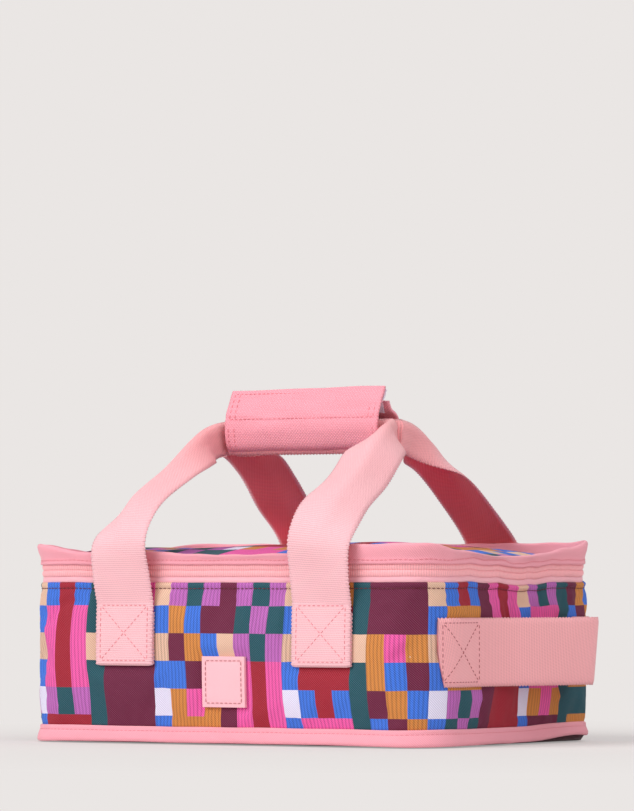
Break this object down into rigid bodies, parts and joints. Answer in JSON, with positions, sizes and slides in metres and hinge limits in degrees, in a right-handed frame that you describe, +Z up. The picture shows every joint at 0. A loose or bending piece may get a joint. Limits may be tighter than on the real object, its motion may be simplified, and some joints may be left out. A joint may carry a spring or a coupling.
{
  "type": "insulated lunch bag",
  "caption": "Soft rectangular insulated lunch bag with a zip-round lid, webbing carry handles joined by a grip wrap, and a side handle",
  "frame": {"origin": "On the underside of the bag, at the middle of its rounded rectangular footprint", "axes": "+Z up, -Y to the front with the patch, +X to the end with the side handle"},
  "size_m": [0.306, 0.219, 0.2027],
  "materials": {
    "printed_canvas": "printed twill canvas",
    "foam": "closed-cell foam",
    "foil_lining": "satin foil-backed lining",
    "pink_binding": "twill binding",
    "base_canvas": "dark twill canvas",
    "board": "matt stiffener board",
    "zip_tape": "woven tape",
    "zip_coil": "nylon coil",
    "pink_webbing": "ribbed webbing",
    "pink_patch": "smooth coated patch",
    "grip_cloth": "plain woven oxford",
    "hook_and_loop": "hook and loop tape",
    "slider_metal": "painted zinc"
  },
  "bodies": {
    "bag": {"outer_wall": "printed_canvas", "wall_foam": "foam", "lining_tub": "foil_lining", "base_binding": "pink_binding", "base_panel": "base_canvas", "base_board": "board", "base_foam": "foam", "lower_zip_tape": "zip_tape", "lower_zip_coil": "zip_coil", "hinge_panel": "zip_tape", "front_left_anchor": "pink_webbing", "front_right_anchor": "pink_webbing", "back_left_anchor": "pink_webbing", "back_right_anchor": "pink_webbing", "front_patch": "pink_patch", "side_handle": "pink_webbing"},
    "lid": {"lid_binding": "pink_binding", "upper_zip_coil": "zip_coil", "upper_zip_tape": "zip_tape", "lid_panel": "printed_canvas", "lid_foam": "foam", "lid_lining": "foil_lining"},
    "front_handle": {"front_handle_webbing": "pink_webbing"},
    "back_handle": {"back_handle_webbing": "pink_webbing", "grip_wrap": "grip_cloth", "loop_tape": "hook_and_loop"},
    "flap": {"grip_flap": "grip_cloth", "hook_tape": "hook_and_loop"},
    "slider": {"zip_slider": "slider_metal"},
    "pull": {"zip_pull": "slider_metal"}
  },
  "joints": [
    {"name": "lid_hinge", "type": "hinge", "parent": "bag", "child": "lid", "pos_m": [0, 0.097, 0.1016], "axis": [-1, 0, 0], "range_deg": [0, 95]},
    {"name": "front_handle_fold", "type": "hinge", "parent": "bag", "child": "front_handle", "pos_m": [0, -0.1022, 0.0795], "axis": [1, 0, 0], "range_deg": [0, 156]},
    {"name": "back_handle_fold", "type": "hinge", "parent": "bag", "child": "back_handle", "pos_m": [0, 0.1022, 0.0795], "axis": [-1, 0, 0], "range_deg": [0, 156], "deforming": ["grip_wrap"]},
    {"name": "grip_flap_open", "type": "hinge", "parent": "back_handle", "child": "flap", "pos_m": [0, -0.0138, 0.1848], "axis": [1, 0, 0], "range_deg": [0, 133], "deforming": ["grip_flap", "hook_tape"]},
    {"name": "zip_slider_slide", "type": "slide", "parent": "bag", "child": "slider", "axis": [0, -1, 0], "range_m": [0, 0.127]},
    {"name": "zip_pull_swing", "type": "hinge", "parent": "slider", "child": "pull", "pos_m": [-0.1385, 0.0635, 0.0983], "axis": [0, 0, 1], "range_deg": [0, 165]}
  ],
  "couplings": [
    {"joint": "front_handle_fold", "follows": "lid_hinge", "ratio": 1.64},
    {"joint": "back_handle_fold", "follows": "lid_hinge", "ratio": 1.64},
    {"joint": "grip_flap_open", "follows": "lid_hinge", "ratio": 1.4}
  ]
}
